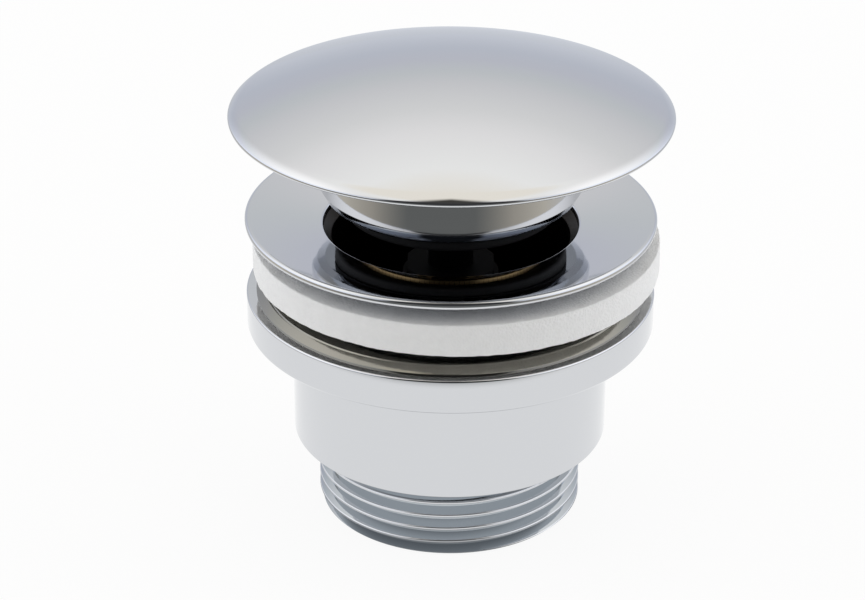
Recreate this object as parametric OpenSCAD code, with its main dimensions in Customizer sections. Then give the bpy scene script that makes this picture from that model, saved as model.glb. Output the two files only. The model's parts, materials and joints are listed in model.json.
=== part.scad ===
// Pop up basin waste: a lower body with a threaded outlet, a flange with its tail,
// and a mushroom plug that rises and latches on a click-clack cartridge.
// The axis of the waste is Z, the free end of the outlet lies on Z = 0, and the plug stands open.

/* [Outlet] */
// Outside diameter of the outlet's pipe thread
outlet_d = 41.91; // [38:0.01:46]
// Length of the threaded outlet below the drum
outlet_len = 12.7; // [9:0.1:24]
// Wall between the outlet's bore and the thread's crests
outlet_wall = 3.45; // [2:0.05:5]
// Chamfer at the free end of the outlet
outlet_chamfer = 0.6; // [0.3:0.1:1.2]

/* [Lower body] */
// Height of the drum between outlet and lip
drum_h = 18.5; // [16:0.1:30]
// Wall of the drum round its cavity
drum_wall = 2.88; // [2:0.01:5]
// Thickness of the floor between cavity and outlet
floor_t = 2.5; // [1.5:0.1:5]
// Rounding of the drum's lower edge
drum_round = 0.4; // [0.2:0.1:1]
// How far the lip stands out from the drum
lip_out = 7.08; // [4:0.01:12]
// Height of the lip
lip_h = 5.7; // [3:0.1:10]
// Rounding of the lip's upper edge
lip_top_round = 0.5; // [0.2:0.1:1.2]
// Rounding of the lip's lower edge
lip_low_round = 0.8; // [0.2:0.1:1.2]

/* [Basin clamp] */
// Thickness of the slip washer on the lip
slip_t = 1.1; // [0.6:0.1:2.5]
// How far the slip washer stops short of the lip's edge
slip_inset = 1.55; // [0.5:0.05:4]
// Room between slip washer and foam seal
clamp_gap = 2.7; // [1:0.1:8]
// Thickness of the foam seal
seal_t = 5.3; // [3:0.1:9]
// How far the foam seal stops short of the flange's edge
seal_inset = 0.16; // [0:0.01:2]
// How far the loose foam seal hangs to one side
seal_shift = 0.85; // [0:0.05:1.5]

/* [Flange] */
// Diameter of the waste's bore at the flange
bore_d = 39.58; // [36:0.01:46]
// Width of the flange round the bore
flange_out = 12.13; // [9:0.01:18]
// Thickness of the flange at its rounded edge
flange_edge = 1.2; // [0.8:0.1:2]
// Height of the flange's edge above the seal's seat
flange_lift = 2.6; // [1.5:0.1:5]
// Fall of the flange's top from its edge to the bore
flange_dish = 1.65; // [0.6:0.05:2.5]
// Rounding where the flange turns into the bore
bore_round = 0.5; // [0.2:0.1:0.8]
// Width of the flat ring that presses on the seal
seat_w = 2.6; // [1:0.1:4]
// Wall of the tail at the bore
tail_wall = 2.1; // [1.5:0.05:3.5]

/* [Spider] */
// Number of arms that carry the hub
arm_count = 3; // [3:1:5]
// Width of an arm
arm_w = 4; // [2.5:0.1:6]
// Height of the hub and the arms
arm_h = 4; // [3:0.1:8]
// Width of the hub's seat round the cartridge
hub_w = 2.3; // [1.5:0.1:3]

/* [Plug] */
// Height of the plug's nose above the bore's edge when open
plug_lift = 4.55; // [2:0.05:10]
// How far the plug drum stands out over the bore
plug_lap = 0.64; // [0.3:0.02:1.5]
// Gap between the tip of the nose and the bore
nose_gap = 1.49; // [0.8:0.01:2.5]
// Height of the chamfered nose
nose_h = 2.4; // [1:0.1:4]
// Wall of the plug drum
plug_wall = 1.5; // [0.8:0.1:3]
// Thickness of the plug drum's floor
plug_floor = 2; // [1:0.1:3]
// Gap between the flange's edge and the cap's rim when open
cap_gap = 15.95; // [12:0.05:24]
// How far the cap's rim stands out over the flange
cap_out = 2.15; // [0:0.05:6]
// Rise of the dome above its rounded rim
cap_rise = 6.61; // [4:0.01:12]
// Radius of the cap's rounded rim
rim_round = 0.7; // [0.4:0.05:1]
// Wall of the dome
cap_wall = 1.6; // [1:0.1:3]
// Wall of the cap's boss round the stud
boss_wall = 2.5; // [1.5:0.1:4]
// Thickness of the rubber plug seal
rubber_t = 2.1; // [1.2:0.1:3]
// Thickness of the washer behind the rubber
backing_t = 1; // [0.6:0.1:2]
// Height of the stud's locknut
locknut_h = 2.2; // [1.5:0.1:4]

/* [Cartridge] */
// Travel of the plug from open to fully pressed
press_travel = 6; // [4:0.1:6.1]
// Depth below the open position at which the rotor latches
latch_depth = 4.75; // [3:0.05:5.5]
// Diameter of the cap's stud
stud_d = 5; // [4:0.5:8]
// Wall of the plunger's rod round the stud
rod_wall = 1; // [0.8:0.1:2]
// Number of ribs in the guide sleeve
rib_count = 4; // [3:1:5]
// Height of a rib towards the axis
rib_h = 0.8; // [0.6:0.1:1.5]
// Angle that a rib or a lug covers
rib_angle = 20; // [14:1:22]
// Wall of the guide sleeve
sleeve_wall = 1; // [0.8:0.1:2]
// Wall of the cartridge's barrel round the sleeve
barrel_wall = 1.5; // [1:0.1:3]
// Height of the barrel's collar
collar_h = 2; // [1:0.1:4]
// Height of the gland's head
gland_head = 2; // [1.4:0.1:4]
// Depth of the gland's spigot in the barrel
gland_depth = 3; // [2:0.1:5]
// Height of the plunger's collar above its teeth
guide_h = 5.4; // [3:0.1:8]
// Height of the plunger's crown teeth
tooth_h = 1.2; // [0.8:0.1:2]
// Height of the rotor's lugs
lug_h = 4; // [3:0.1:5]
// Length of the return spring when the plug is open
spring_len = 12; // [11:0.1:16]
// Diameter of the spring's wire
wire_d = 0.8; // [0.5:0.05:0.9]
// Turns of the return spring
spring_turns = 6; // [4:0.5:7]
// Height of the spring's base
base_h = 3; // [2:0.1:5]
// Height of the nut under the hub
nut_h = 3.5; // [2:0.1:5]
// Thickness of the washer under the hub
hub_washer_t = 0.8; // [0.5:0.1:1.5]

/* [Seal rings] */
// Wire diameter of the ring that seals the tail
tail_ring_d = 1.6; // [1:0.1:2]
// Wire diameter of the ring that wipes the rod
wiper_d = 1; // [0.8:0.1:1.4]

/* [Hidden] */
$fn = 96;

// Colours of the finishes
chrome = [0.80, 0.82, 0.85];
steel = [0.66, 0.67, 0.68];
brass = [0.72, 0.58, 0.30];
rubber = [0.07, 0.07, 0.07];
foam = [0.93, 0.93, 0.91];
resin = [0.035, 0.035, 0.037];

// Clearances
thread_clear = 0.1;
thread_fit = 0.05;
run_clear = 0.05;
slide_clear = 0.2;
stop_clear = 0.1;
soft_clear = 0.3;
end_clear = 0.4;
cut = 1;

// Radii, worked outwards from the bore of the flange
bore_r = bore_d / 2;
tail_r = bore_r + tail_wall;
cavity_r = tail_r + thread_clear;
drum_r = cavity_r + drum_wall;
lip_r = drum_r + lip_out;
outlet_r = outlet_d / 2;
outlet_bore_r = outlet_r - outlet_wall;
flange_r = bore_r + flange_out;
seal_r = flange_r - seal_inset;
slip_r = lip_r - slip_inset;
plug_r = bore_r + plug_lap;
nose_r = bore_r - nose_gap;
rubber_r = nose_r - stop_clear;
throat_r = rubber_r + soft_clear;
cap_r = flange_r + cap_out;

// Radii, worked outwards from the cap's stud
stud_r = stud_d / 2;
tapped_r = stud_r + thread_fit;
rod_r = stud_r + rod_wall;
rib_r = rod_r + end_clear;
guide_r = rib_r + rib_h;
sleeve_r = guide_r + slide_clear;
sleeve_out_r = sleeve_r + sleeve_wall;
barrel_bore_r = sleeve_out_r + stop_clear;
barrel_r = barrel_bore_r + barrel_wall;
spring_bore_r = sleeve_r + soft_clear;
hub_bore_r = barrel_r + run_clear;
hub_r = hub_bore_r + hub_w;
boss_r = stud_r + boss_wall;
core_r = rib_r - slide_clear;

// Heights, worked upwards from the end of the outlet
drum_z = outlet_len;
floor_z = drum_z + floor_t;
lip_z = drum_z + drum_h;
land_z = lip_z + lip_h;
slip_z = land_z + slip_t;
seal_z = slip_z + clamp_gap;
seat_z = seal_z + seal_t;
edge_low_z = seat_z + flange_lift;
edge_top_z = edge_low_z + flange_edge;
bore_z = edge_top_z - flange_dish;
nose_z = bore_z + plug_lift;
shoulder_z = nose_z + nose_h;
rim_z = edge_top_z + cap_gap;

// The tail ends above the cavity's floor by the way that it still screws down
tail_z = floor_z + clamp_gap + stop_clear;
hub_z = tail_z + arm_h / 2;
hub_top_z = hub_z + arm_h;

// Heights, worked downwards from the plug's nose through the cartridge
backing_z = nose_z - rubber_t;
locknut_top_z = backing_z - backing_t;
rod_top_z = locknut_top_z - locknut_h;
gland_top_z = rod_top_z - press_travel - end_clear;
barrel_top_z = gland_top_z - gland_head;
gland_z = barrel_top_z - gland_depth;
guide_top_z = gland_z - stop_clear;
crown_z = guide_top_z - guide_h - tooth_h;
lug_top_z = crown_z - soft_clear;
lug_z = lug_top_z - lug_h;
rib_z = lug_top_z - latch_depth;
sleeve_z = rib_z - soft_clear;
spring_z = lug_z - spring_len;
barrel_z = spring_z - base_h;

// Pieces whose heights hang on those above
stud_z = rod_top_z - 2 * stud_d;
boss_z = nose_z + plug_floor;
stud_top_z = boss_z + 2 * stud_d;
pivot_r = rod_r - rod_wall;
pivot_h = 3;
pilot_h = 2;
tail_ring_z = hub_top_z + 2 * tail_ring_d;
wiper_z = barrel_top_z;

// Circle of the dome: it touches the rounded rim and rises by cap_rise above it
rim_c = cap_r - rim_round;
dome_r = rim_round + (rim_c ^ 2 + cap_rise ^ 2) / (2 * cap_rise);
apex_z = rim_z + 2 * rim_round + cap_rise;
dome_z = apex_z - dome_r;
rim_lean = asin(rim_c / (dome_r - rim_round));
rim_joint = [rim_c + rim_round * sin(rim_lean), rim_z + rim_round + rim_round * cos(rim_lean)];
inner_dome_r = dome_r - cap_wall;
drum_top_z = dome_z + sqrt(inner_dome_r ^ 2 - plug_r ^ 2) - run_clear;

// Outline of a rectangle between two radii and two heights
module band(r_in, r_out, z_low, z_high) {
    translate([r_in, z_low])
        square([r_out - r_in, z_high - z_low]);
}

// Outline of a turned disc with rounded outer edges
module turned(r, z_low, z_high, low_round, top_round) {
    polygon([[0, z_low], [r - low_round, z_low], [r, z_low + low_round],
             [r, z_high - top_round], [r - top_round, z_high], [0, z_high]]);
    translate([r - low_round, z_low + low_round])
        circle(low_round);
    translate([r - top_round, z_high - top_round])
        circle(top_round);
}

// Plain ring or tube
module ring(r_in, r_out, z_low, z_high) {
    rotate_extrude()
        band(r_in, r_out, z_low, z_high);
}

// Part of a ring, centred on the X axis
module sector(r_in, r_out, z_low, z_high, width) {
    rotate([0, 0, -width / 2])
        rotate_extrude(angle = width)
            band(r_in, r_out, z_low, z_high);
}

// Ring of round wire
module wire_ring(r, z, wire) {
    rotate_extrude()
        translate([r, z])
            circle(wire / 2);
}

// Hexagonal nut with a plain bore
module hex_nut(bore, flat, z_low, z_high) {
    translate([0, 0, z_low])
        difference() {
            cylinder(h = z_high - z_low, r = flat / cos(30), $fn = 6);
            translate([0, 0, -cut])
                cylinder(h = z_high - z_low + 2 * cut, r = bore);
        }
}

// Copies round the axis
module around(count, start = 0) {
    for (i = [0:count - 1])
        rotate([0, 0, start + i * 360 / count])
            children();
}

module lower_body() {
    color(chrome)
        rotate_extrude()
            difference() {
                union() {
                    polygon([[0, 0], [outlet_r - outlet_chamfer, 0], [outlet_r, outlet_chamfer],
                             [outlet_r, floor_z], [0, floor_z]]);
                    turned(drum_r, drum_z, land_z - lip_top_round, drum_round, drum_round);
                    turned(lip_r, lip_z, land_z, lip_low_round, lip_top_round);
                }
                band(0, cavity_r, floor_z, land_z + cut);
                band(0, outlet_bore_r, -cut, floor_z + cut);
            }
}

module slip_washer() {
    color(steel)
        rotate_extrude()
            difference() {
                turned(slip_r, land_z, slip_z, slip_t / 4, slip_t / 4);
                band(0, cavity_r + slip_inset, land_z - cut, slip_z + cut);
            }
}

// Outline of the flange and its tail, with the dished top and the seal's throat
module flange_outline() {
    edge_c = flange_r - flange_edge / 2;
    edge_mid_z = edge_low_z + flange_edge / 2;
    bore_c = bore_r + bore_round;
    lead_z = bore_z - 2 * bore_round;
    throat_z = lead_z - (bore_r - throat_r);
    polygon([[throat_r, tail_z], [tail_r, tail_z], [tail_r, seat_z], [tail_r + seat_w, seat_z],
             [edge_c, edge_low_z], [edge_c, edge_top_z], [bore_c, bore_z],
             [bore_r, bore_z - bore_round], [bore_r, lead_z], [throat_r, throat_z]]);
    translate([edge_c, edge_mid_z])
        circle(flange_edge / 2);
    translate([bore_c, bore_z - bore_round])
        circle(bore_round);
}

// Arm of the spider: straight sides, a flat foot and a round back against the flow
module spider_arm() {
    back_r = max(arm_w, arm_h);
    translate([hub_bore_r + hub_w / 2, 0, hub_z])
        rotate([90, 0, 90])
            linear_extrude(throat_r - hub_bore_r - hub_w / 2 + (tail_r - throat_r) / 4)
                intersection() {
                    translate([-arm_w / 2, 0])
                        square([arm_w, arm_h]);
                    translate([0, arm_h - back_r])
                        circle(back_r);
                }
}

module flange_body() {
    groove_r = tail_r - tail_ring_d - run_clear;
    groove_h = tail_ring_d / 2 + stop_clear;
    color(chrome) {
        rotate_extrude()
            difference() {
                flange_outline();
                band(groove_r, tail_r + cut, tail_ring_z - groove_h, tail_ring_z + groove_h);
            }
        ring(hub_bore_r, hub_r, hub_z, hub_top_z);
        around(arm_count, 180 / arm_count)
            spider_arm();
    }
}

module flange_seal() {
    color(foam)
        translate([seal_shift, 0, 0])
            ring(tail_r + seal_shift + stop_clear, seal_r, seal_z, seat_z);
}

module tail_o_ring() {
    color(rubber)
        wire_ring(tail_r - tail_ring_d / 2, tail_ring_z, tail_ring_d);
}

module cartridge_housing() {
    color(brass)
        rotate_extrude()
            difference() {
                union() {
                    band(0, barrel_r, barrel_z, barrel_top_z);
                    turned(hub_r, hub_top_z, hub_top_z + collar_h, stop_clear, collar_h / 4);
                }
                band(0, barrel_bore_r, sleeve_z, barrel_top_z + cut);
                band(0, spring_bore_r, barrel_z - cut, sleeve_z + cut);
            }
}

module cartridge_washer() {
    color(steel)
        ring(hub_bore_r, hub_r, hub_z - hub_washer_t, hub_z);
}

module cartridge_nut() {
    top_z = hub_z - hub_washer_t;
    color(brass)
        hex_nut(hub_bore_r, hub_r - hub_w / 6, top_z - nut_h, top_z);
}

module cartridge_gland() {
    groove_r = rod_r + run_clear + wiper_d + run_clear;
    groove_h = wiper_d / 2 + run_clear;
    flat_r = barrel_r - barrel_wall / 2;
    color(resin)
        difference() {
            rotate_extrude()
                difference() {
                    union() {
                        band(0, barrel_bore_r - thread_fit, gland_z, barrel_top_z + gland_head / 2);
                        turned(barrel_r, barrel_top_z, gland_top_z, stop_clear, gland_head / 4);
                    }
                    band(0, rod_r + run_clear, gland_z - cut, gland_top_z + cut);
                    band(0, groove_r, wiper_z - groove_h, wiper_z + groove_h);
                }
            around(2)
                translate([flat_r, -barrel_r, barrel_top_z + gland_head / 4])
                    cube([barrel_r, 2 * barrel_r, gland_head]);
        }
}

module wiper_o_ring() {
    color(rubber)
        wire_ring(rod_r + run_clear + wiper_d / 2, wiper_z, wiper_d);
}

// Rib of the guide sleeve: its lower end is a ramp that a lug of the rotor latches under
module guide_rib() {
    ramp = 45;
    difference() {
        sector(rib_r, sleeve_r + sleeve_wall / 2, rib_z, gland_z - 2 * stop_clear, rib_angle);
        rotate([0, 0, -rib_angle / 2])
            translate([0, 0, rib_z + stop_clear])
                rotate([-ramp, 0, 0])
                    translate([0, -sleeve_out_r, -2 * sleeve_out_r])
                        cube([2 * sleeve_out_r, 2 * sleeve_out_r, 2 * sleeve_out_r]);
    }
}

module guide_sleeve() {
    color(resin) {
        ring(sleeve_r, sleeve_out_r, sleeve_z, gland_z - stop_clear);
        around(rib_count, 180 / rib_count)
            guide_rib();
    }
}

// Points of the spring's wire: each ring stands across the coil, whose ends lie flat
module return_spring() {
    steps_per_turn = 24;
    sides = 8;
    flat_turns = 0.6;
    coil_r = core_r - wire_d / 2 - stop_clear;
    wire_r = wire_d / 2;
    steps = steps_per_turn * spring_turns;
    rise = spring_len - wire_d;
    share = function (i) min(1, max(0, (i / steps_per_turn - flat_turns) / (spring_turns - 2 * flat_turns)));
    wire_point = function (i, j) let (
        turn = i * 360 / steps_per_turn,
        side = j * 360 / sides,
        r = coil_r + wire_r * cos(side)
    ) [r * cos(turn), r * sin(turn), spring_z + wire_r + rise * share(i) + wire_r * sin(side)];
    skin = [for (i = [0:steps - 1], j = [0:sides - 1])
        let (k = (j + 1) % sides)
        [i * sides + j, i * sides + k, (i + 1) * sides + k, (i + 1) * sides + j]];
    first_end = [for (j = [sides - 1:-1:0]) j];
    last_end = [for (j = [0:sides - 1]) steps * sides + j];
    color(steel)
        polyhedron(
            points = [for (i = [0:steps], j = [0:sides - 1]) wire_point(i, j)],
            faces = concat(skin, [first_end], [last_end]));
}

module spring_base() {
    pilot_r = core_r - wire_d - 2 * slide_clear;
    color(brass)
        rotate_extrude()
            difference() {
                union() {
                    band(0, spring_bore_r - thread_fit, barrel_z, spring_z);
                    band(0, pilot_r, barrel_z, spring_z + pilot_h);
                }
                band(0, pilot_r / 2, barrel_z - cut, spring_z + pilot_h + cut);
            }
}

// Wedge that cuts one V between two crown teeth
module tooth_gap() {
    half_w = guide_r * sin(90 / rib_count) * 3 / 4;
    translate([0, 0, crown_z])
        rotate([90, 0, 90])
            linear_extrude(guide_r + cut)
                polygon([[-half_w, -cut], [half_w, -cut], [half_w, 0], [0, tooth_h], [-half_w, 0]]);
}

module plunger() {
    notch = rib_angle + 8;
    color(resin)
        difference() {
            union() {
                ring(0, rod_r, crown_z, rod_top_z);
                ring(0, core_r, crown_z, guide_top_z);
                around(rib_count)
                    sector(rod_r / 2, guide_r, crown_z, guide_top_z, 360 / rib_count - notch);
            }
            translate([0, 0, crown_z - cut])
                cylinder(h = pivot_h + soft_clear + 2 * cut, r = pivot_r + slide_clear);
            translate([0, 0, stud_z - stop_clear])
                cylinder(h = rod_top_z - stud_z + cut, r = tapped_r);
            around(2 * rib_count)
                tooth_gap();
        }
}

// Lug of the rotor: a block with a ramped top, turned back in its groove by half a step
module rotor_lug() {
    ramp = 30;
    difference() {
        sector(pivot_r / 2, guide_r, lug_z, lug_top_z, rib_angle);
        rotate([0, 0, rib_angle / 2])
            translate([0, 0, lug_top_z - stop_clear])
                rotate([-ramp, 0, 0])
                    translate([0, -guide_r, 0])
                        cube([2 * guide_r, 2 * guide_r, 2 * guide_r]);
    }
}

module index_rotor() {
    half_step = 90 / rib_count;
    spigot_r = core_r - wire_d - 2 * slide_clear;
    color(resin) {
        ring(0, core_r, lug_z, lug_top_z - lug_h / 3);
        ring(0, pivot_r, lug_z, lug_top_z + pivot_h);
        ring(0, spigot_r, lug_z - pilot_h, lug_z + lug_h / 2);
        around(rib_count, -half_step)
            rotor_lug();
    }
}

module cap_stud() {
    color(steel)
        rotate_extrude()
            difference() {
                band(0, stud_r, stud_z, stud_top_z);
                polygon([[stud_r - thread_clear * 4, stud_z - cut], [stud_r + cut, stud_z - cut],
                         [stud_r + cut, stud_z + thread_clear * 4 + cut]]);
            }
}

module stud_locknut() {
    color(brass)
        hex_nut(tapped_r, stud_d * 0.8, rod_top_z, locknut_top_z);
}

module seal_washer() {
    color(brass)
        rotate_extrude()
            difference() {
                turned(rubber_r * 3 / 4, locknut_top_z, backing_z, backing_t / 4, stop_clear);
                band(0, tapped_r, locknut_top_z - cut, backing_z + cut);
            }
}

module plug_seal() {
    color(rubber)
        rotate_extrude()
            difference() {
                turned(rubber_r, backing_z, nose_z, rubber_t / 3, rubber_t / 4);
                band(0, tapped_r, backing_z - cut, nose_z + cut);
            }
}

module plug_drum() {
    color(chrome)
        rotate_extrude()
            polygon([[tapped_r, nose_z], [nose_r, nose_z], [plug_r, shoulder_z], [plug_r, drum_top_z],
                     [plug_r - plug_wall, drum_top_z], [plug_r - plug_wall, boss_z], [tapped_r, boss_z]]);
}

// Outline of the solid cap: a dome that runs into the rounded rim
module cap_outline() {
    intersection() {
        translate([0, dome_z])
            circle(dome_r);
        band(0, cap_r, rim_joint.y, apex_z + cut);
    }
    polygon([[0, rim_z], [rim_c, rim_z], [rim_c, rim_z + rim_round], rim_joint, [0, rim_joint.y]]);
    translate([rim_c, rim_z + rim_round])
        circle(rim_round);
}

module cap_dome() {
    color(chrome)
        rotate_extrude()
            difference() {
                union() {
                    difference() {
                        cap_outline();
                        intersection() {
                            translate([0, dome_z])
                                circle(inner_dome_r);
                            band(0, cap_r, rim_z - cut, apex_z);
                        }
                    }
                    band(0, boss_r, boss_z, apex_z - cap_wall / 2);
                }
                band(0, tapped_r, boss_z - cut, stud_top_z + stop_clear);
            }
}

lower_body();
slip_washer();
flange_body();
flange_seal();
tail_o_ring();
cartridge_housing();
cartridge_washer();
cartridge_nut();
cartridge_gland();
wiper_o_ring();
guide_sleeve();
return_spring();
spring_base();
plunger();
index_rotor();
cap_stud();
stud_locknut();
seal_washer();
plug_seal();
plug_drum();
cap_dome();
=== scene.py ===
# %% [markdown]
# # A pop up basin waste, dressed in Blender
# The waste is a set of turned parts on one axis: a mushroom cap on its plug, a dished flange with
# a foam seal, and a lower body with a threaded outlet. Its working pieces come in as a fixed frame,
# and the pieces that show are turned again here with clean curves, true threads and real finishes.

# %% The frame
import json
import math

import bpy
from mathutils import Matrix, Vector


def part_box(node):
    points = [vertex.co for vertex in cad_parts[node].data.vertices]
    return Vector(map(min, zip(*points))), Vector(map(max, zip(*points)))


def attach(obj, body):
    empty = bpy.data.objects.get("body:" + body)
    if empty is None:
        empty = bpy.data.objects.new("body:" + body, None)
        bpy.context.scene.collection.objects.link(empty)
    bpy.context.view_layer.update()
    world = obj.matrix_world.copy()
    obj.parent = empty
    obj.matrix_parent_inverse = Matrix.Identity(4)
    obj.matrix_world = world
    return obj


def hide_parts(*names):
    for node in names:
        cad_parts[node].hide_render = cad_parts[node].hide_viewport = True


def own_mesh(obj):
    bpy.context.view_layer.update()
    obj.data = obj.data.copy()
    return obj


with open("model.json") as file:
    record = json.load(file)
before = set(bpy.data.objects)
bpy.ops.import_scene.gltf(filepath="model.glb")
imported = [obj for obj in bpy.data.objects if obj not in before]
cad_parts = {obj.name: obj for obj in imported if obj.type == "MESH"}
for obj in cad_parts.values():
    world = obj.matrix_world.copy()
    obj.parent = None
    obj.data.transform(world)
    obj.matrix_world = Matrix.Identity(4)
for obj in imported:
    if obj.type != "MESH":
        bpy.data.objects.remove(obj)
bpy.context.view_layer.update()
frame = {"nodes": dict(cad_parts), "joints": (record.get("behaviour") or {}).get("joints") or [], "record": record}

# %% [markdown]
# ## Sizes
# Every size is in millimetres and comes from the frame's own boxes where a box gives it. A turned
# piece needs only three numbers from its box: its outer radius, its foot and its top. The few that
# a box can't give, such as the fall of the flange's top, are named beside it.

# %% Sizes from the frame
MM = 0.001


def turned_size(node):
    low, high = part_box(node)
    across = min(high[0] - low[0], high[1] - low[1])
    return across / 2 / MM, low[2] / MM, high[2] / MM


cap_r, boss_z, apex_z = turned_size("cap_dome")
plug_r, nose_z, drum_top_z = turned_size("plug_drum")
flange_r, tail_z, flange_top_z = turned_size("flange_body")
tail_r = turned_size("tail_o_ring")[0]
seal_r, seal_z, seal_top_z = turned_size("flange_seal")
slip_r, land_z, slip_top_z = turned_size("slip_washer")
lip_r = turned_size("lower_body")[0]
hub_r = turned_size("cartridge_housing")[0]
hub_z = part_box("cartridge_washer")[1][2] / MM
stud_r = turned_size("cap_stud")[0]
seal_shift = (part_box("flange_seal")[0][0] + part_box("flange_seal")[1][0]) / 2 / MM
print(f"cap {2 * cap_r:.1f} mm across, {apex_z:.1f} mm high; flange {2 * flange_r:.1f} mm across")

# %% [markdown]
# ## The camera
# The photograph looks down at the waste from a little above, with a long lens. The camera was
# fitted to the turned edges, whose circles show as ellipses. It stands on the -Y side, and a small
# shift moves the picture sideways, because the waste isn't quite in the middle of the photograph.

# %% Camera
IMAGE_W = 865
SENSOR_MM = 36
FOCAL_PX = 2703.6
AXIS_PX = 450.4
CAMERA_BACK = 379.9
CAMERA_UP = 226.6
LOOK_DOWN = 26.87
ROLL = 0.41
NEAR_CLIP = 10

bpy.ops.object.camera_add()
camera = bpy.context.object
camera.name = "photo_camera"
tilt = Matrix.Rotation(math.radians(90 - LOOK_DOWN), 4, "X")
roll = Matrix.Rotation(math.radians(ROLL), 4, "Z")
camera.location = Vector((0, -CAMERA_BACK, CAMERA_UP)) * MM
camera.rotation_euler = (tilt @ roll).to_euler()
camera.data.sensor_width = SENSOR_MM
camera.data.lens = FOCAL_PX / IMAGE_W * SENSOR_MM
camera.data.shift_x = (0.5 * IMAGE_W - AXIS_PX) / IMAGE_W
camera.data.clip_start = NEAR_CLIP * MM
bpy.context.scene.camera = camera
print(f"lens {camera.data.lens:.1f} mm")

# %% [markdown]
# ## Turning a piece
# A lathe part is drawn as half a section and spun round the axis. In Blender that is one vertex,
# extruded from corner to corner along the section, then the Spin tool. A corner can carry a
# rounding: it is replaced by an arc that touches both of its sides, as a radius tool would leave it.

# %% Section and spin
ARC_STEPS = 10
SPIN_STEPS = 192
MERGE = 0.0005 * MM


def arc(centre, radius, start, end, steps):
    turn = [start + (end - start) * i / steps for i in range(steps + 1)]
    return [(centre[0] + radius * math.cos(a), centre[1] + radius * math.sin(a)) for a in turn]


def rounded(corners):
    points = []
    for i, corner in enumerate(corners):
        here = Vector(corner[:2])
        radius = corner[2] if len(corner) > 2 else 0
        if not radius:
            points.append(here)
            continue
        back = (Vector(corners[i - 1][:2]) - here).normalized()
        ahead = (Vector(corners[(i + 1) % len(corners)][:2]) - here).normalized()
        half = back.angle(ahead) / 2
        middle = here + (back + ahead).normalized() * radius / math.sin(half)
        first = here + back * radius / math.tan(half) - middle
        last = here + ahead * radius / math.tan(half) - middle
        for step in range(ARC_STEPS + 1):
            points.append(middle + first.slerp(last, step / ARC_STEPS) * radius)
    return points


def one_vertex(name):
    bpy.ops.object.select_all(action="DESELECT")
    bpy.ops.mesh.primitive_plane_add(size=MM)
    piece = bpy.context.object
    piece.name = name
    bpy.ops.object.mode_set(mode="EDIT")
    bpy.ops.mesh.select_all(action="SELECT")
    bpy.ops.mesh.merge(type="CENTER")
    return piece


def draw_section(points):
    places = [Vector((p[0], 0, p[1])) * MM for p in points]
    bpy.ops.transform.translate(value=places[0])
    for here, there in zip(places, places[1:] + places[:1]):
        bpy.ops.mesh.extrude_vertices_move(TRANSFORM_OT_translate={"value": there - here})
    bpy.ops.mesh.select_all(action="SELECT")
    bpy.ops.mesh.remove_doubles(threshold=MERGE)


def turn_piece(name, points, steps=SPIN_STEPS):
    piece = one_vertex(name)
    draw_section(points)
    bpy.ops.mesh.select_all(action="SELECT")
    bpy.ops.mesh.spin(steps=steps, angle=math.tau, center=(0, 0, 0), axis=(0, 0, 1))
    bpy.ops.mesh.select_all(action="SELECT")
    bpy.ops.mesh.remove_doubles(threshold=MERGE)
    bpy.ops.mesh.normals_make_consistent(inside=False)
    bpy.ops.object.mode_set(mode="OBJECT")
    return piece


# %% [markdown]
# ## Cutting and joining
# What isn't turned is cut or joined with the Boolean modifier, which is then applied, so that the
# piece stays one closed skin. A cut leaves slivers where two edges nearly meet, and these are merged
# away. Smooth shading by angle keeps the turned edges crisp.

# %% Boolean and shading helpers
SHARP = math.radians(32)
SLIVER = 0.003 * MM


def apply_boolean(piece, other, operation):
    bpy.ops.object.select_all(action="DESELECT")
    bpy.context.view_layer.objects.active = piece
    piece.select_set(True)
    modifier = piece.modifiers.new(operation.lower(), "BOOLEAN")
    modifier.operation = operation
    modifier.object = other
    modifier.solver = "EXACT"
    bpy.ops.object.modifier_apply(modifier=modifier.name)
    bpy.data.objects.remove(other)


def clean(piece):
    bpy.context.view_layer.objects.active = piece
    bpy.ops.object.mode_set(mode="EDIT")
    bpy.ops.mesh.select_all(action="SELECT")
    bpy.ops.mesh.remove_doubles(threshold=SLIVER)
    bpy.ops.mesh.quads_convert_to_tris(quad_method="BEAUTY", ngon_method="BEAUTY")
    bpy.ops.mesh.dissolve_degenerate(threshold=SLIVER)
    bpy.ops.mesh.select_all(action="SELECT")
    bpy.ops.mesh.normals_make_consistent(inside=False)
    bpy.ops.object.mode_set(mode="OBJECT")


def shade(piece):
    bpy.ops.object.select_all(action="DESELECT")
    bpy.context.view_layer.objects.active = piece
    piece.select_set(True)
    bpy.ops.object.shade_smooth_by_angle(angle=SHARP)


def finish_piece(piece, body, slot, *nodes):
    shade(piece)
    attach(piece, body)
    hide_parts(*nodes)
    piece.data.calc_loop_triangles()
    print(f"{piece.name}: {len(piece.data.loop_triangles)} triangles, for {', '.join(nodes)}")


# %% [markdown]
# ## The mushroom cap
# The cap is a pressed brass shell: a shallow spherical dome, a flat underside behind the rim, and a
# boss inside for the stud. The dome's radius follows from two facts: it touches the rim's rounding,
# and it rises by a known height above it. The photograph shows a softer edge than that, so a wider
# arc runs from the dome into a smaller tip. It touches both, which places its centre: it lies at a
# known distance from the dome's centre and from the tip's, so the law of cosines gives the angle.

# %% Mushroom cap
RIM_ROUND = 0.7
CAP_RISE = 6.61
CAP_WALL = 1.6
BOSS_WALL = 2.5
DOME_STEPS = 48
SOFT_EDGE = 4.0
RIM_TIP = 0.5
TAP_CLEAR = 0.05
STUD_DEPTH = 10.1

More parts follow.
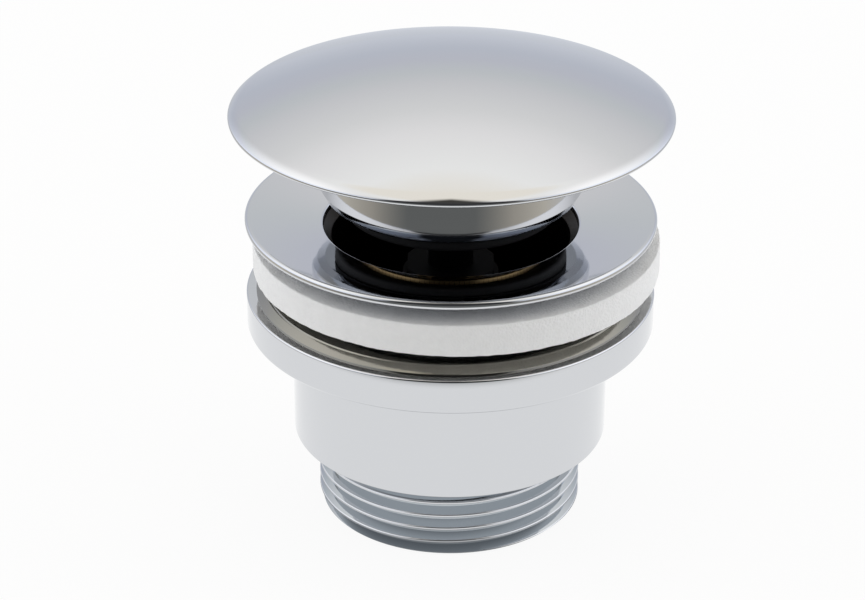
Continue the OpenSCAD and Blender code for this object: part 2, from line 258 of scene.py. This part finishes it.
rim_c = cap_r - RIM_ROUND
rim_z = apex_z - CAP_RISE - 2 * RIM_ROUND
dome_r = RIM_ROUND + (rim_c ** 2 + CAP_RISE ** 2) / (2 * CAP_RISE)
dome_c = (0, apex_z - dome_r)
tip_c = (cap_r - RIM_TIP, rim_z + RIM_TIP)
to_tip = Vector(tip_c) - Vector(dome_c)
to_soft = dome_r - SOFT_EDGE
squares = to_soft ** 2 + to_tip.length_squared - (SOFT_EDGE - RIM_TIP) ** 2
swing = math.acos(squares / (2 * to_soft * to_tip.length))
soft_turn = math.atan2(to_tip.y, to_tip.x) + swing
soft_c = (to_soft * math.cos(soft_turn), dome_c[1] + to_soft * math.sin(soft_turn))
tip_turn = math.atan2(tip_c[1] - soft_c[1], tip_c[0] - soft_c[0])
inner_r = dome_r - CAP_WALL
hole_r = stud_r + TAP_CLEAR
boss_r = stud_r + BOSS_WALL
boss_top_z = boss_z + STUD_DEPTH
inner_rim = math.asin((rim_z - dome_c[1]) / inner_r)
inner_boss = math.acos(boss_r / inner_r)

cap_section = arc(dome_c, dome_r, math.pi / 2, soft_turn, DOME_STEPS)
cap_section += arc(soft_c, SOFT_EDGE, soft_turn, tip_turn, ARC_STEPS)[1:]
cap_section += arc(tip_c, RIM_TIP, tip_turn, -math.pi / 2, 2 * ARC_STEPS)[1:]
cap_section += arc(dome_c, inner_r, inner_rim, inner_boss, DOME_STEPS)
cap_section += [(boss_r, boss_z), (hole_r, boss_z), (hole_r, boss_top_z), (0, boss_top_z)]
mushroom_cap = turn_piece("mushroom_cap", cap_section)
finish_piece(mushroom_cap, "plug_unit", "chrome", "cap_dome")

# %% [markdown]
# ## The plug drum
# Under the cap hangs a chromed drum. The drum is a cup: its floor is clamped between the cap's boss
# and the locknut, and its wall ends just under the dome. Its nose is turned in two slopes, a flat one
# below and a steep one above, which leave room for the bore's edge when the plug is pressed.

# %% Plug drum
NOSE_H = 2.4
NOSE_R = 18.3
PLUG_WALL = 1.5
EDGE_ROUND = 0.3
SHOULDER_ROUND = 0.4
BREAK_R = 19.55
BREAK_H = 0.8

plug_section = rounded([
    (hole_r, nose_z), (NOSE_R, nose_z, EDGE_ROUND), (BREAK_R, nose_z + BREAK_H, EDGE_ROUND),
    (plug_r, nose_z + NOSE_H, SHOULDER_ROUND), (plug_r, drum_top_z),
    (plug_r - PLUG_WALL, drum_top_z), (plug_r - PLUG_WALL, boss_z), (hole_r, boss_z)])
plug_shell = turn_piece("plug_shell", plug_section)
finish_piece(plug_shell, "plug_unit", "chrome", "plug_drum")

# %% [markdown]
# ## The plug seal
# A rubber disc under the plug closes the throat. Its edge is moulded with a round lip. It is drawn
# smaller than its solid in the frame, so that the throat looks as dark and open as in the photograph.

# %% Plug seal
SEAL_R = 16.8
SEAL_LIP = 0.6

rubber_z, rubber_top_z = turned_size("plug_seal")[1:]
rubber_section = rounded([
    (hole_r, rubber_z), (SEAL_R, rubber_z, SEAL_LIP), (SEAL_R, rubber_top_z, SEAL_LIP / 2),
    (hole_r, rubber_top_z)])
rubber_disc = turn_piece("rubber_disc", rubber_section)
finish_piece(rubber_disc, "plug_unit", "black_rubber", "plug_seal")

# %% [markdown]
# ## Threads
# The outlet carries a right-handed pipe thread. On a lathe a V-shaped tool is led along the turning
# part, and here the same V is drawn as a closed section, wound along a helix by the Screw modifier,
# capped, and subtracted from the turned blank. The crests are rounded by drawing the V with curved
# shoulders, which stop just short of level so that the cutter never runs along the blank's skin.

# %% Thread cutter
THREAD_STEPS = 96
FLANK_HALF = math.radians(27.5)
CREST_STOP = math.radians(12)
CREST_STEPS = 5
CUTTER_PROUD = 0.3


def wind(piece, pitch, turns):
    screw = piece.modifiers.new("helix", "SCREW")
    screw.axis = "Z"
    screw.angle = math.tau * turns
    screw.screw_offset = pitch * turns * MM
    screw.steps = screw.render_steps = round(THREAD_STEPS * turns)
    bpy.ops.object.mode_set(mode="OBJECT")
    bpy.ops.object.modifier_apply(modifier=screw.name)
    bpy.ops.object.mode_set(mode="EDIT")
    bpy.ops.mesh.select_all(action="SELECT")
    bpy.ops.mesh.fill_holes(sides=0)
    bpy.ops.mesh.select_all(action="SELECT")
    bpy.ops.mesh.normals_make_consistent(inside=False)


def groove_section(crest_r, depth, root_flat, crest_round):
    root_r = crest_r - depth
    half = root_flat / 2
    flank_end = crest_r - crest_round * (1 - math.sin(FLANK_HALF))
    bend_z = half + (flank_end - root_r) * math.tan(FLANK_HALF)
    bend_c = (crest_r - crest_round, bend_z + crest_round * math.cos(FLANK_HALF))
    bend = arc(bend_c, crest_round, FLANK_HALF - math.pi / 2, -CREST_STOP, CREST_STEPS)
    side = [(root_r, half)] + bend + [(crest_r + CUTTER_PROUD, bend[-1][1])]
    return [(r, -z) for r, z in side] + side[::-1]


def cut_thread(blank, crest_r, depth, pitch, root_flat, crest_round, first_z, turns):
    cutter = one_vertex("thread_cutter")
    section = groove_section(crest_r, depth, root_flat, crest_round)
    draw_section([(r, z + first_z) for r, z in section])
    wind(cutter, pitch, turns)
    bpy.ops.object.mode_set(mode="OBJECT")
    apply_boolean(blank, cutter, "DIFFERENCE")


# %% [markdown]
# ## The lower body
# The lower body is turned from one brass bar: a threaded outlet, a straight drum and a wide lip,
# with a cavity for the flange's tail. A narrow neck above the thread lets the tool run out.

# %% Lower body
OUTLET_LEN = 12.7
OUTLET_CHAMFER = 0.6
OUTLET_WALL = 3.45
THREAD_PITCH = 2.309
THREAD_DEPTH = 1.479
THREAD_R = 20.955
THREAD_TURNS = 6.25
NECK_H = 1.6
ROOT_FLAT = 0.4
CREST_ROUND = 0.2
FLOOR_T = 2.5
LIP_H = 5.7
LIP_OUT = 7.08
CREST_Z = 9.4
CREST_TURNS = 5
TAIL_CLEAR = 0.1
OUTLET_ROUND = 0.3
DRUM_ROUND = 0.4
LIP_FILLET = 0.3
LIP_ROUND = 0.8
LAND_ROUND = 0.3
FLOOR_ROUND = 0.5

drum_r = lip_r - LIP_OUT
lip_z = land_z - LIP_H
cavity_r = tail_r + TAIL_CLEAR
outlet_bore_r = THREAD_R - OUTLET_WALL
neck_r = THREAD_R - THREAD_DEPTH
cavity_z = OUTLET_LEN + FLOOR_T
lower_section = rounded([
    (outlet_bore_r, 0, OUTLET_ROUND), (THREAD_R - OUTLET_CHAMFER, 0), (THREAD_R, OUTLET_CHAMFER),
    (THREAD_R, OUTLET_LEN - NECK_H), (neck_r, OUTLET_LEN - NECK_H / 2), (neck_r, OUTLET_LEN),
    (drum_r, OUTLET_LEN, DRUM_ROUND), (drum_r, lip_z, LIP_FILLET), (lip_r, lip_z, LIP_ROUND),
    (lip_r, land_z, LAND_ROUND), (cavity_r, land_z, LAND_ROUND), (cavity_r, cavity_z, FLOOR_ROUND),
    (outlet_bore_r, cavity_z, FLOOR_ROUND)])
lower_cup = turn_piece("lower_cup_body", lower_section)
quarter_turn = THREAD_PITCH / 4
first_groove = CREST_Z - THREAD_PITCH / 2 + quarter_turn - CREST_TURNS * THREAD_PITCH
cut_thread(lower_cup, THREAD_R, THREAD_DEPTH, THREAD_PITCH, ROOT_FLAT, CREST_ROUND,
           first_groove, THREAD_TURNS)
clean(lower_cup)
finish_piece(lower_cup, "lower_cup", "chrome", "lower_body")

# %% [markdown]
# ## The slip washer
# A thin polished ring lies on the lip, so that the lower body can turn under a seal without tearing
# it. Its outer edge slopes, and a fine turned line runs along the top of the slope.

# %% Slip washer
SLIP_BORE = 23.54
SLIP_SLOPE = 1.1
SLIP_EDGE = 0.2
SLIP_ROUND = 0.15
MARK_W = 0.22
MARK_DEPTH = 0.25

slope_r = slip_r - SLIP_SLOPE
slip_section = rounded([
    (SLIP_BORE, land_z, SLIP_ROUND), (slip_r, land_z),
    (slip_r, land_z + SLIP_EDGE, SLIP_EDGE / 2), (slope_r, slip_top_z),
    (slope_r - MARK_W, slip_top_z - MARK_DEPTH), (slope_r - 2 * MARK_W, slip_top_z),
    (SLIP_BORE, slip_top_z, SLIP_ROUND)])
slip_ring = turn_piece("slip_ring", slip_section)
finish_piece(slip_ring, "lower_cup", "polished_steel", "slip_washer")

# %% [markdown]
# ## The flange and its tail
# The flange has a thin rounded edge, a top that falls towards the bore, and a conical underside that
# presses on the seal. Its tail has a groove for a sealing ring and a fine thread outside. The whole
# section is turned at once, as it would be from one casting.

# %% Flange and tail
EDGE_T = 1.2
FLANGE_DISH = 1.65
FLANGE_ROUND = 0.55
BORE_R = 19.79
BORE_ROUND = 0.5
THROAT_R = 18.5
SEAT_W = 2.6
SEAT_ROUND = 0.4
SEAT_FILLET = 0.2
RING_GROOVE_R = 20.24
RING_GROOVE_H = 1.8
RING_PLAY = 0.1
GROOVE_ROUND = 0.1
LEAD_ROUND = 0.3
THROAT_ROUND = 0.5
TAIL_PITCH = 1.5
TAIL_DEPTH = 0.6
TAIL_ROOT = 0.3
TAIL_CREST = 0.15
TAIL_ROUNDS = (0.3, 0.5)

bore_z = flange_top_z - FLANGE_DISH
lead_z = bore_z - 2 * BORE_ROUND
throat_z = lead_z - (BORE_R - THROAT_R)
edge_low_z = flange_top_z - EDGE_T
ring_low_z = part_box("tail_o_ring")[0][2] / MM - RING_PLAY
ring_top_z = ring_low_z + RING_GROOVE_H
flange_section = rounded([
    (THROAT_R, tail_z, TAIL_ROUNDS[0]), (tail_r, tail_z, TAIL_ROUNDS[1]),
    (tail_r, ring_low_z, GROOVE_ROUND), (RING_GROOVE_R, ring_low_z, GROOVE_ROUND),
    (RING_GROOVE_R, ring_top_z, GROOVE_ROUND), (tail_r, ring_top_z, GROOVE_ROUND),
    (tail_r, seal_top_z, SEAT_FILLET), (tail_r + SEAT_W, seal_top_z, SEAT_ROUND),
    (flange_r, edge_low_z, FLANGE_ROUND), (flange_r, flange_top_z, FLANGE_ROUND),
    (BORE_R, bore_z, BORE_ROUND), (BORE_R, lead_z, LEAD_ROUND), (THROAT_R, throat_z, THROAT_ROUND)])
flange = turn_piece("flange_and_tail", flange_section)
thread_z = ring_top_z + TAIL_PITCH
tail_turns = int((seal_top_z - thread_z) / TAIL_PITCH)
cut_thread(flange, tail_r, TAIL_DEPTH, TAIL_PITCH, TAIL_ROOT, TAIL_CREST, thread_z, tail_turns)
print(f"tail threaded with {tail_turns} turns")

# %% [markdown]
# ## The spider
# Three arms inside the tail carry the cartridge's hub. An arm is a block whose two upper edges are
# rounded off, so that water and hair slide past. The arms reach a little into hub and tail, and are
# joined to the turned parts one by one.

# %% Spider
HUB_BORE = 7.55
HUB_ROUND = 0.4
ARM_COUNT = 3
ARM_W = 4
ARM_H = 4
ARM_ROUND = 1.2
ARM_ROUND_STEPS = 6
INTO_HUB = 1.2
INTO_TAIL = 0.8


def spider_arm(turn):
    inner, outer = HUB_BORE + INTO_HUB, THROAT_R + INTO_TAIL
    bpy.ops.object.select_all(action="DESELECT")
    bpy.ops.mesh.primitive_cube_add(size=1)
    arm = bpy.context.object
    bpy.ops.object.mode_set(mode="EDIT")
    bpy.ops.transform.resize(value=((outer - inner) * MM, ARM_W * MM, ARM_H * MM))
    bpy.ops.transform.translate(value=((outer + inner) / 2 * MM, 0, (hub_z + ARM_H / 2) * MM))
    bpy.ops.mesh.select_all(action="DESELECT")
    bpy.ops.object.mode_set(mode="OBJECT")
    for edge in arm.data.edges:
        ends = [arm.data.vertices[v].co for v in edge.vertices]
        along = abs(ends[0].x - ends[1].x) > MM
        edge.select = along and min(end.z for end in ends) > (hub_z + ARM_H / 2) * MM
    bpy.ops.object.mode_set(mode="EDIT")
    bpy.ops.mesh.bevel(offset=ARM_ROUND * MM, segments=ARM_ROUND_STEPS, affect="EDGES")
    bpy.ops.mesh.select_all(action="SELECT")
    bpy.ops.transform.rotate(value=-turn, orient_axis="Z", center_override=(0, 0, 0))
    bpy.ops.object.mode_set(mode="OBJECT")
    return arm


hub_top_z = hub_z + ARM_H
hub = turn_piece("hub", rounded([
    (HUB_BORE, hub_z), (hub_r, hub_z, HUB_ROUND), (hub_r, hub_top_z, HUB_ROUND),
    (HUB_BORE, hub_top_z)]))
for i in range(ARM_COUNT):
    apply_boolean(hub, spider_arm(math.tau * (i + 0.5) / ARM_COUNT), "UNION")
apply_boolean(flange, hub, "UNION")
clean(flange)
finish_piece(flange, "flange_unit", "chrome", "flange_body")

# %% [markdown]
# ## The foam seal
# The seal is stamped from white closed-cell foam. It is a plain thick ring, a little loose on the
# tail, so it hangs to one side. Its cut edges are soft and not quite even, which a fine noise gives.

# %% Foam seal
FOAM_ROUND = 0.35
FOAM_STEPS = 288
CUT_LENGTH = 1.4
CUT_DEPTH = 0.22
FOAM_CLEAR = 0.1

foam_bore = tail_r + seal_shift + FOAM_CLEAR
foam_section = rounded([
    (foam_bore, seal_z, FOAM_ROUND), (seal_r, seal_z, FOAM_ROUND),
    (seal_r, seal_top_z, FOAM_ROUND), (foam_bore, seal_top_z, FOAM_ROUND)])
foam_ring = turn_piece("foam_ring", foam_section, FOAM_STEPS)
rough_cut = bpy.data.textures.new("rough_cut", "CLOUDS")
rough_cut.noise_scale = CUT_LENGTH * MM
wander = foam_ring.modifiers.new("rough_cut", "DISPLACE")
wander.texture = rough_cut
wander.strength = CUT_DEPTH * MM
wander.mid_level = 1.0
bpy.ops.object.modifier_apply(modifier=wander.name)
bpy.ops.object.mode_set(mode="EDIT")
bpy.ops.mesh.select_all(action="SELECT")
bpy.ops.transform.translate(value=(seal_shift * MM, 0, 0))
bpy.ops.object.mode_set(mode="OBJECT")
finish_piece(foam_ring, "flange_unit", "white_foam", "flange_seal")

# %% [markdown]
# ## The return spring
# The cartridge's spring is wound from steel wire as an open helix, and its two ends are ground flat so
# that it stands square, which the Bisect tool does here. When the plug is pressed the real spring
# shortens towards its foot by as much as the plug moves; here only the share of its length that it
# keeps is worked out, and the spring gets a mesh of its own.

# %% Return spring
WIRE_R = 0.4
WIRE_SIDES = 12
SPRING_TURNS = 6

coil_r, spring_z, spring_top_z = turned_size("return_spring")
spring_len = spring_top_z - spring_z
press = next(joint["range_m"] for joint in frame["joints"] if joint["name"] == "plug_press")
coil_spring = one_vertex("coil_spring")
draw_section(arc((coil_r - WIRE_R, spring_z), WIRE_R, 0, math.tau, WIRE_SIDES)[:-1])
wind(coil_spring, spring_len / SPRING_TURNS, SPRING_TURNS)
for height, above in ((spring_z, False), (spring_top_z, True)):
    bpy.ops.mesh.select_all(action="SELECT")
    bpy.ops.mesh.bisect(plane_co=(0, 0, height * MM), plane_no=(0, 0, 1), use_fill=True,
                        clear_inner=not above, clear_outer=above)
bpy.ops.object.mode_set(mode="OBJECT")
clean(coil_spring)
finish_piece(coil_spring, "flange_unit", "polished_steel", "return_spring")
left_of_it = 1 - (press[1] - press[0]) / MM / spring_len
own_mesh(coil_spring)
print(f"spring keeps {left_of_it:.2f} of its length")

# %% [markdown]
# ## Shader maths
# A material is a graph of nodes, and writing it as Python expressions keeps it short. A small class
# wraps a socket and overloads the operators, so that a + b adds a Math node. A second one makes the
# nodes. The helpers after them are the few textures that the finishes share: noise through the solid,
# and rings round the axis as a lathe leaves them.

# %% Wrapped sockets


class Wire:
    def __init__(self, graph, socket):
        self.graph = graph
        self.socket = socket

    def out(self, name):
        return Wire(self.graph, self.socket.node.outputs[name])

    def math(self, operation, *others):
        inputs = dict(enumerate((self, *others)))
        return self.graph.node("ShaderNodeMath", {"operation": operation}, inputs)

    def __add__(self, other):
        return self.math("ADD", other)

    def __mul__(self, other):
        return self.math("MULTIPLY", other)

    def __sub__(self, other):
        return self.math("SUBTRACT", other)

    def __rsub__(self, other):
        return self.graph.node("ShaderNodeMath", {"operation": "SUBTRACT"}, {0: other, 1: self})

    __radd__ = __add__
    __rmul__ = __mul__


class Graph:
    def __init__(self, tree):
        self.tree = tree
        self.tree.nodes.clear()

    def node(self, kind, settings=None, inputs=None, output=0):
        made = self.tree.nodes.new(kind)
        for key, value in (settings or {}).items():
            if key == "stops":
                self.set_stops(made.color_ramp, value)
            else:
                setattr(made, key, value)
        for key, value in (inputs or {}).items():
            if isinstance(value, Wire):
                self.tree.links.new(value.socket, made.inputs[key])
            else:
                made.inputs[key].default_value = value
        return Wire(self, made.outputs[output]) if made.outputs else made

    def set_stops(self, ramp, stops):
        while len(ramp.elements) < len(stops):
            ramp.elements.new(0.5)
        for element, (place, colour) in zip(ramp.elements, stops):
            element.position = place
            element.color = (*colour, 1)

    def mix(self, factor, first, second):
        settings = {"data_type": "RGBA"}
        return self.node("ShaderNodeMix", settings, {"Factor": factor, 6: first, 7: second}, output=2)


def new_material(name):
    material = bpy.data.materials.new(name)
    material.use_nodes = True
    return material, Graph(material.node_tree)


def place_of(graph):
    return graph.node("ShaderNodeTexCoord", output="Object")


def axis_distance(graph, place):
    flat = graph.node("ShaderNodeVectorMath", {"operation": "MULTIPLY"}, {0: place, 1: (1, 1, 0)})
    return graph.node("ShaderNodeVectorMath", {"operation": "LENGTH"}, {0: flat}, output="Value")


def ease(graph, value, start, end):
    inputs = {"Value": value, "From Min": start, "From Max": end}
    return graph.node("ShaderNodeMapRange", {"interpolation_type": "SMOOTHSTEP"}, inputs)


def noise(graph, scale, detail):
    inputs = {"Vector": place_of(graph), "Scale": scale, "Detail": detail}
    return graph.node("ShaderNodeTexNoise", {}, inputs)


def ring_marks(graph, scale):
    inputs = {"W": axis_distance(graph, place_of(graph)), "Scale": scale, "Detail": 2.0}
    return graph.node("ShaderNodeTexNoise", {"noise_dimensions": "1D"}, inputs)


def bump(graph, height, strength, distance):
    inputs = {"Height": height, "Strength": strength, "Distance": distance}
    return graph.node("ShaderNodeBump", {}, inputs)


def surface(graph, **inputs):
    sockets = {key.replace("_", " "): value for key, value in inputs.items()}
    shader = graph.node("ShaderNodeBsdfPrincipled", {}, sockets)
    graph.node("ShaderNodeOutputMaterial", {}, {"Surface": shader})


# %% [markdown]
# ## Finishes
# Chrome plate reflects a little over half of the light, slightly blue, so white surroundings look
# light grey in it. Polishing leaves a faint haze that wanders over the surface. Three zones carry
# painted shade in their colour: down in the bore the bare brass is painted near black, and dull, and
# the thread's grooves and the plug's nose are painted slate grey. The distance from the axis and the
# height mark them off.

# %% Chrome
CHROME = (0.645, 0.654, 0.675, 1)
# Painted shade: bare brass darkened to near black in the bore, slate grey in the thread's grooves, a darker slate
# on the plug's nose.
BARE_BRASS_IN_PAINTED_SHADE = (0.02, 0.015, 0.01, 1)
THREAD_GROOVE_PAINTED_SHADE = (0.49, 0.52, 0.55, 1)
NOSE_PAINTED_SHADE = (0.34, 0.36, 0.40, 1)
CHROME_ROUGH = 0.035
HAZE_ROUGH = 0.03
HAZE_SCALE = 60.0
BORE_DULL = 0.3
THREAD_DULL = 0.02
BORE_SKIN = 0.1
CREST_SKIN = 0.12
NECK_SKIN = 0.05


def make_chrome(name, zone_r=0.0, zone_top=0.0, painted_shade_colour=CHROME, dull=0.0):
    material, g = new_material(name)
    haze = noise(g, HAZE_SCALE, 3.0)
    place = place_of(g)
    height = g.node("ShaderNodeSeparateXYZ", {}, {0: place}, output="Z")
    # The zone near the axis and below a height takes the painted shade colour in place of chrome.
    near = axis_distance(g, place).math("LESS_THAN", zone_r * MM)
    zone = near * height.math("LESS_THAN", zone_top * MM)
    rough = CHROME_ROUGH + haze * HAZE_ROUGH + zone * dull
    surface(g, Base_Color=g.mix(zone, CHROME, painted_shade_colour), Metallic=1.0, Roughness=rough)
    return material


shoulder_z = nose_z + NOSE_H - SHOULDER_ROUND
chrome_plate = make_chrome("chrome_plate")
# Painted shade: the bore's bare brass is painted near black.
bored_chrome = make_chrome(
    "chrome_with_bare_bore_in_painted_shade", BORE_R + BORE_SKIN, bore_z - BORE_ROUND, BARE_BRASS_IN_PAINTED_SHADE, BORE_DULL)
# Painted shade: the plug's nose, which faces down into the dark bore, is painted dark slate.
nosed_chrome = make_chrome("chrome_with_painted_shade_on_nose", plug_r + 1, shoulder_z, NOSE_PAINTED_SHADE)
# Painted shade: the thread's flanks and roots are painted slate grey; the crests stay bright chrome.
threaded_chrome = make_chrome(
    "chrome_with_painted_shade_in_thread", THREAD_R - CREST_SKIN, OUTLET_LEN - NECK_SKIN, THREAD_GROOVE_PAINTED_SHADE,
    THREAD_DULL)
print("chrome in four finishes")

# %% [markdown]
# Stainless steel is warmer and duller than chrome, and fine rings from the lathe run round it. The
# slip washer takes a copy darkened by half, which is painted shade from the seal above it.

# %% Polished steel
STEEL = (0.53, 0.52, 0.49, 1)
# Painted shade: the slip washer's steel, darkened for the shadow of the seal.
PAINTED_SHADE_STEEL = (0.27, 0.262, 0.235, 1)
STEEL_ROUGH = 0.08
STEEL_RINGS = 9000.0


def make_steel(name, colour):
    material, g = new_material(name)
    rings = ring_marks(g, STEEL_RINGS)
    surface(g, Base_Color=colour, Metallic=1.0, Roughness=STEEL_ROUGH + rings * STEEL_ROUGH)
    return material


polished_steel = make_steel("polished_steel", STEEL)
steel_with_painted_shade = make_steel("steel_with_painted_shade", PAINTED_SHADE_STEEL)
print("steel, light and dark")

# %% [markdown]
# The foam is matt white, with fine closed cells that show as a soft grain.

# %% Foam
FOAM_LIGHT = (0.95, 0.95, 0.94, 1)
FOAM_SHADE = (0.88, 0.88, 0.87, 1)
FOAM_ROUGH = 0.9
FOAM_CLOUDS = 900.0
CELL_SCALE = 2600.0
CELL_BUMP = 0.35
CELL_DEPTH = 0.2


def make_foam():
    material, g = new_material("white_foam")
    cells = g.node("ShaderNodeTexVoronoi", {}, {"Vector": place_of(g), "Scale": CELL_SCALE})
    colour = g.mix(noise(g, FOAM_CLOUDS, 3.0), FOAM_SHADE, FOAM_LIGHT)
    grain = bump(g, cells, CELL_BUMP, CELL_DEPTH * MM)
    surface(g, Base_Color=colour, Roughness=FOAM_ROUGH, Normal=grain)
    return material


white_foam = make_foam()
print("foam")

# %% [markdown]
# Rubber is black and satin, brass is turned, and acetal is a hard black plastic. They sit deep
# inside in shade, so they are kept dark; the brass is darkened with painted shade, far below its own colour.

# %% Rubber, brass and acetal
# Painted shade: both brass tones are darkened far below brass's own colour; the noise between them is random tone.
PAINTED_SHADE_BRASS_PALE = (0.30, 0.21, 0.10, 1)
PAINTED_SHADE_BRASS_DEEP = (0.21, 0.14, 0.06, 1)
BRASS_CLOUDS = 150.0
BRASS_RINGS = 7000.0
BRASS_ROUGH = (0.2, 0.15)
RUBBER = (0.006, 0.006, 0.0065, 1)
RUBBER_GRAIN = 1800.0
RUBBER_ROUGH = (0.6, 0.2)
RUBBER_SHINE = 0.25
RUBBER_BUMP = 0.15
RUBBER_DEPTH = 0.1
ACETAL_LIGHT = (0.004, 0.004, 0.0045, 1)
ACETAL_SHADE = (0.002, 0.002, 0.0025, 1)
ACETAL_CLOUDS = 400.0
ACETAL_ROUGH = 0.5
ACETAL_SHINE = 0.04


def make_rubber():
    material, g = new_material("black_rubber")
    grain = noise(g, RUBBER_GRAIN, 4.0)
    rough = RUBBER_ROUGH[0] + grain * RUBBER_ROUGH[1]
    surface(g, Base_Color=RUBBER, Roughness=rough, Specular_IOR_Level=RUBBER_SHINE,
            Normal=bump(g, grain, RUBBER_BUMP, RUBBER_DEPTH * MM))
    return material


def make_brass():
    material, g = new_material("turned_brass_in_painted_shade")
    colour = g.mix(noise(g, BRASS_CLOUDS, 3.0), PAINTED_SHADE_BRASS_DEEP, PAINTED_SHADE_BRASS_PALE)
    rough = BRASS_ROUGH[0] + ring_marks(g, BRASS_RINGS) * BRASS_ROUGH[1]
    surface(g, Base_Color=colour, Metallic=1.0, Roughness=rough)
    return material


def make_acetal():
    material, g = new_material("acetal")
    colour = g.mix(noise(g, ACETAL_CLOUDS, 2.0), ACETAL_SHADE, ACETAL_LIGHT)
    surface(g, Base_Color=colour, Roughness=ACETAL_ROUGH, Specular_IOR_Level=ACETAL_SHINE)
    return material


finishes = {"chrome": chrome_plate, "polished_steel": polished_steel, "white_foam": white_foam,
            "black_rubber": make_rubber(), "brass": make_brass(), "acetal": make_acetal()}
print("finishes:", ", ".join(finishes))

# %% [markdown]
# Every piece takes the finish of its slot: the new pieces first, then what stays of the frame.

# %% Assign finishes
new_pieces = {mushroom_cap: "chrome", plug_shell: "chrome", flange: "chrome", lower_cup: "chrome",
              slip_ring: "polished_steel", coil_spring: "polished_steel", foam_ring: "white_foam",
              rubber_disc: "black_rubber"}
special = {flange: bored_chrome, plug_shell: nosed_chrome, lower_cup: threaded_chrome,
           slip_ring: steel_with_painted_shade}
for piece, slot in new_pieces.items():
    piece.data.materials.clear()
    piece.data.materials.append(special.get(piece, finishes[slot]))
for part in frame["record"]["subparts"]:
    for material_slot in frame["nodes"][part["node"]].material_slots:
        material_slot.material = finishes[part["material_slot"]]
print(f"{len(new_pieces)} new pieces painted, {len(special)} of them with a finish of their own")

# %% [markdown]
# ## The studio
# The waste stands on a white sheet. The camera sees the sheet as plain white with a faint shadow.
# Chrome shows whatever surrounds it, so for reflections the sheet is white only near the waste:
# further out it is bluish behind, beige at the sides and dark in front, where the camera stands.

# %% Floor
FLOOR_SIZE = 4.0
FLOOR_DROP = 0.05
WHITE_SHARE = 0.92
SHEET_R = 0.115
SHEET_SOFT = 0.012
OUTLET_DARK_R = 0.0185
OUTLET_SOFT = 0.001
PAPER = (0.9, 0.9, 0.9, 1)
WHITE = (1, 1, 1, 1)
SHEET_WHITE = (0.995, 1.0, 1.0, 1)
SHEET_SHADE = (0.28, 0.29, 0.30, 1)
SHADE_R = (0.020, 0.031)
ROUND_ABOUT = [(0.0, (0.67, 0.70, 0.76)), (0.5, (0.59, 0.555, 0.48)),
               (0.76, (0.40, 0.375, 0.325)), (0.95, (0.15, 0.155, 0.15))]
LEFT_DIMMER = 0.07


def make_floor():
    material, g = new_material("studio_floor")
    path = g.node("ShaderNodeLightPath")
    place = place_of(g)
    out = g.node("ShaderNodeVectorMath", {"operation": "LENGTH"}, {0: place}, output="Value")
    side = g.node("ShaderNodeVectorMath", {"operation": "NORMALIZE"}, {0: place})
    way = g.node("ShaderNodeSeparateXYZ", {}, {0: side})
    turn = 0.5 - way.out("Y") * 0.5 - way.out("X") * LEFT_DIMMER
    far = g.node("ShaderNodeValToRGB", {"stops": ROUND_ABOUT}, {"Fac": turn})
    sheet = ease(g, out, SHEET_R + SHEET_SOFT, SHEET_R - SHEET_SOFT)
    inside = ease(g, out, OUTLET_DARK_R, OUTLET_DARK_R + OUTLET_SOFT)
    white = g.mix(ease(g, out, *SHADE_R), SHEET_SHADE, SHEET_WHITE)
    around = g.mix(sheet, far, white)
    mirrored = path.out("Is Glossy Ray")
    colour = g.mix(mirrored, WHITE, around)
    glow = g.node("ShaderNodeEmission", {}, {"Color": colour, "Strength": 1.0})
    paper = g.node("ShaderNodeBsdfDiffuse", {}, {"Color": PAPER})
    share = path.out("Is Camera Ray") * WHITE_SHARE + mirrored * inside
    mixed = g.node("ShaderNodeMixShader", {}, {0: share, 1: paper, 2: glow})
    g.node("ShaderNodeOutputMaterial", {}, {"Surface": mixed})
    return material


bpy.ops.object.select_all(action="DESELECT")
bpy.ops.mesh.primitive_plane_add(size=FLOOR_SIZE, location=(0, 0, -FLOOR_DROP * MM))
floor = bpy.context.object
floor.name = "studio_floor"
floor.data.materials.append(make_floor())
print("floor laid")

# %% [markdown]
# The room above the sheet is a tent of light: cool and dim near the horizon, warm and bright
# overhead, and brighter to both sides. A dark sector in front stands for the camera and whoever holds
# it. The camera itself sees the room as plain white, so that low views have no horizon.

# %% Tent of light
SKY = [(0.0, (0.67, 0.70, 0.77)), (0.19, (0.625, 0.655, 0.73)), (0.31, (0.655, 0.67, 0.735)),
       (0.42, (0.71, 0.735, 0.75)), (0.51, (0.80, 0.80, 0.81)), (0.66, (0.93, 0.925, 0.91)),
       (0.76, (1.07, 1.05, 1.03)), (0.875, (1.18, 1.17, 1.13)), (0.935, (1.14, 1.08, 0.96))]
SIDE_BOOST = 0.85
SIDE_FROM = (0.45, 0.95)
FRONT_SPREAD = 1.1
FRONT_FROM = (0.05, 0.30)
FRONT_LIGHT = 0.06

world = bpy.data.worlds.new("light_tent")
bpy.context.scene.world = world
world.use_nodes = True
g = Graph(world.node_tree)
way = g.node("ShaderNodeSeparateXYZ", {}, {0: g.node("ShaderNodeTexCoord", output="Generated")})
sky = g.node("ShaderNodeValToRGB", {"stops": SKY}, {"Fac": way.out("Z")})
aside = way.out("X").math("ABSOLUTE")
sector = 0.0 - way.out("Y") - aside * FRONT_SPREAD
side_light = 1.0 + ease(g, aside, *SIDE_FROM) * SIDE_BOOST
tent = side_light * (1.0 - ease(g, sector, *FRONT_FROM) * (1.0 - FRONT_LIGHT))
seen = g.node("ShaderNodeLightPath", output="Is Camera Ray")
strength = tent + seen * (1.0 - tent)
light = g.node("ShaderNodeBackground", {}, {"Color": g.mix(seen, sky, WHITE), "Strength": strength})
g.node("ShaderNodeOutputWorld", {}, {"Surface": light})
bpy.context.scene.view_settings.view_transform = "Standard"
print("tent lit")
